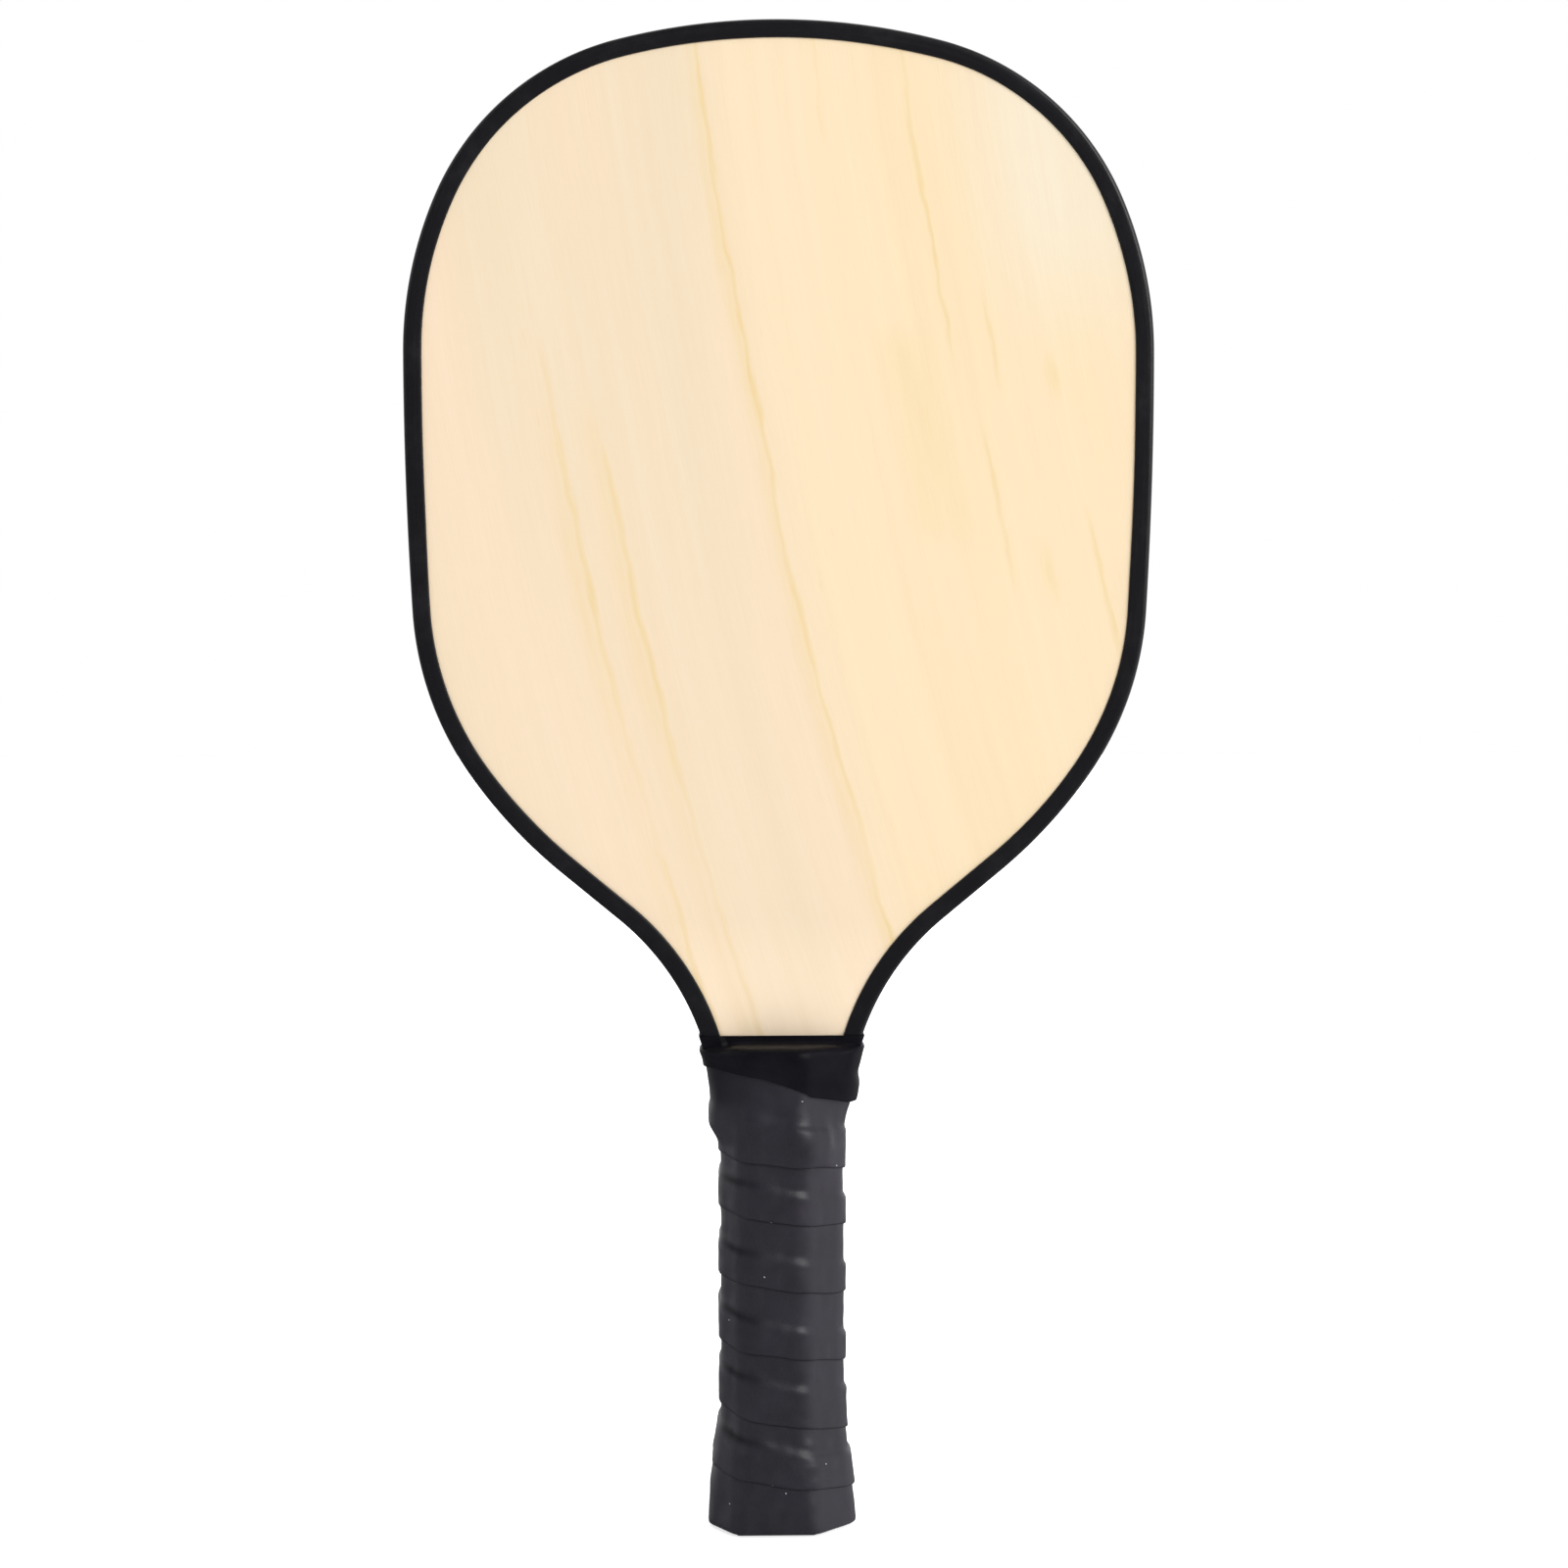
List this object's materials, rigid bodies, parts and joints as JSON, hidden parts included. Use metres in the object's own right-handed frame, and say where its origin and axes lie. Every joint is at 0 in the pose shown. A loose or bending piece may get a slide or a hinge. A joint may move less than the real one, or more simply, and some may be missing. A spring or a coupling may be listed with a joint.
{
  "type": "pickleball paddle",
  "caption": "Wooden pickleball paddle: plywood blade with a rounded head, a black edge guard, a tape-wrapped octagonal handle and a flared butt.",
  "frame": {"origin": "centre of the flat butt end, on the surface that the paddle stands on", "axes": "+Z along the paddle from the butt to the head, -Y out of the front face, +X to the right seen from the front"},
  "size_m": [0.1972, 0.037, 0.396],
  "materials": {
    "face_veneer": "pale sanded rotary-cut veneer, thin satin lacquer",
    "inner_ply": "raw peeled veneer",
    "handle_wood": "planed softwood, glued",
    "guard_plastic": "satin black extruded PVC",
    "cap_plastic": "matt black moulded plastic",
    "staple_steel": "galvanised wire",
    "grip_tape": "matt black polyurethane wrap, slightly tacky",
    "finishing_tape": "semi-gloss black vinyl tape"
  },
  "bodies": {
    "root": {"front_face_veneer": "face_veneer", "front_cross_ply": "inner_ply", "front_long_ply": "inner_ply", "core_ply": "inner_ply", "back_long_ply": "inner_ply", "back_cross_ply": "inner_ply", "back_face_veneer": "face_veneer", "front_handle_scale": "handle_wood", "back_handle_scale": "handle_wood", "edge_guard": "guard_plastic", "butt_cap": "cap_plastic", "butt_cap_staples": "staple_steel", "grip_tape": "grip_tape", "finishing_tape": "finishing_tape"}
  },
  "joints": []
}
